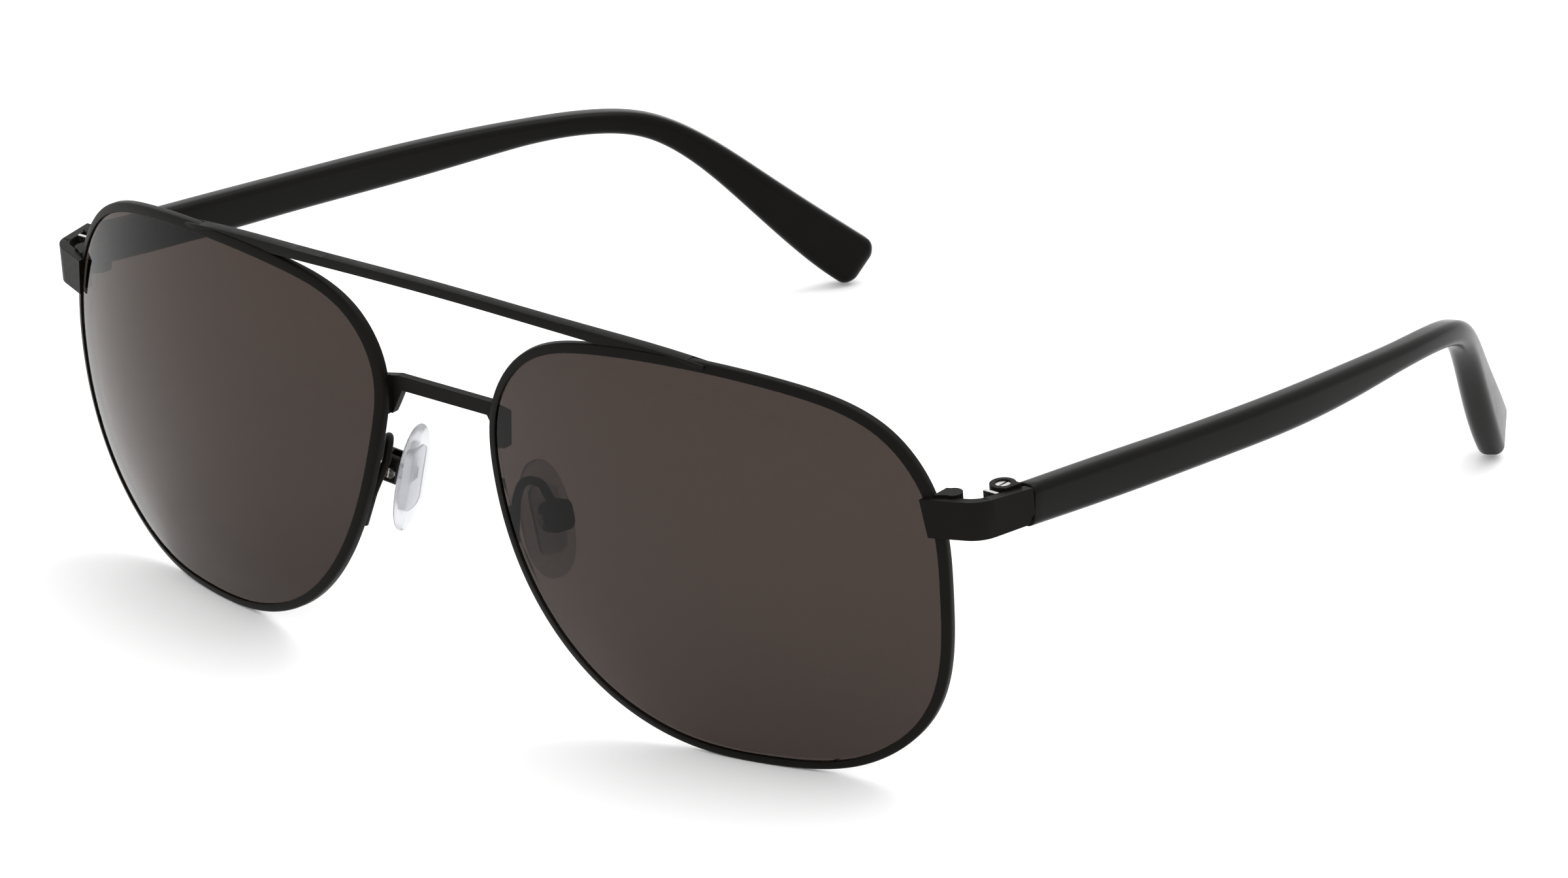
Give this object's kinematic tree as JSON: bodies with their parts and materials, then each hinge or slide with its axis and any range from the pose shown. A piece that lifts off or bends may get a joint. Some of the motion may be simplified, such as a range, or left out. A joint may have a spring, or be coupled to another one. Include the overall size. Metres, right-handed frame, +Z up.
{
  "type": "aviator sunglasses",
  "caption": "Aviator sunglasses: thin black metal rims, double bridge, dark curved lenses, clear adjustable nose pads and black temples that fold on small screw hinges.",
  "frame": {"origin": "middle of the footprint at the height of the surface that the open sunglasses stand on, on the rim bottoms and temple tips", "axes": "+X towards the wearer's left, +Y from the lenses back to the temple tips, +Z up"},
  "size_m": [0.1436, 0.1344, 0.049],
  "materials": {
    "black_enamel": "satin black baked lacquer on nickel-silver wire",
    "steel": "bare machined steel",
    "black_acetate": "tumbled satin black acetate",
    "tinted_lens": "polished dark grey-brown tint",
    "clear_silicone": "clear silicone, soft gloss",
    "clear_insert": "clear hard plastic"
  },
  "bodies": {
    "front": {"rim_left": "black_enamel", "rim_right": "black_enamel", "lens_left": "tinted_lens", "lens_right": "tinted_lens", "brow_bar": "black_enamel", "nose_bridge": "black_enamel", "end_piece_left": "black_enamel", "end_piece_right": "black_enamel", "closing_block_upper_left": "black_enamel", "closing_block_upper_right": "black_enamel", "closing_block_lower_left": "black_enamel", "closing_block_lower_right": "black_enamel", "closing_screw_left": "steel", "closing_screw_right": "steel", "pad_arm_left": "black_enamel", "pad_arm_right": "black_enamel", "pad_box_left": "black_enamel", "pad_box_right": "black_enamel", "pad_screw_left": "steel", "pad_screw_right": "steel", "hinge_front_left": "black_enamel", "hinge_front_right": "black_enamel", "hinge_plate_left": "steel", "hinge_plate_right": "steel", "hinge_washer_left": "steel", "hinge_washer_right": "steel", "hinge_screw_left": "steel", "hinge_screw_right": "steel"},
    "temple_left": {"temple_left": "black_acetate", "temple_core_left": "steel", "hinge_rear_left": "steel"},
    "temple_right": {"temple_right": "black_acetate", "temple_core_right": "steel", "hinge_rear_right": "steel"},
    "pad_left": {"nose_pad_left": "clear_silicone", "pad_insert_left": "clear_insert"},
    "pad_right": {"nose_pad_right": "clear_silicone", "pad_insert_right": "clear_insert"}
  },
  "joints": [
    {"name": "temple_fold_left", "type": "hinge", "parent": "front", "child": "temple_left", "pos_m": [0.06845, -0.04902, 0.03367], "axis": [0, -0.061, 0.9981], "range_deg": [0, 84]},
    {"name": "temple_fold_right", "type": "hinge", "parent": "front", "child": "temple_right", "pos_m": [-0.06845, -0.04902, 0.03367], "axis": [0, 0.061, -0.9981], "range_deg": [0, 80]},
    {"name": "pad_rock_left", "type": "hinge", "parent": "front", "child": "pad_left", "pos_m": [0.01216, -0.0593, 0.02242], "axis": [0.2588, 0.9641, 0.059], "range_deg": [-10, 10]},
    {"name": "pad_rock_right", "type": "hinge", "parent": "front", "child": "pad_right", "pos_m": [-0.01216, -0.0593, 0.02242], "axis": [0.2588, -0.9641, -0.059], "range_deg": [-10, 10]}
  ]
}
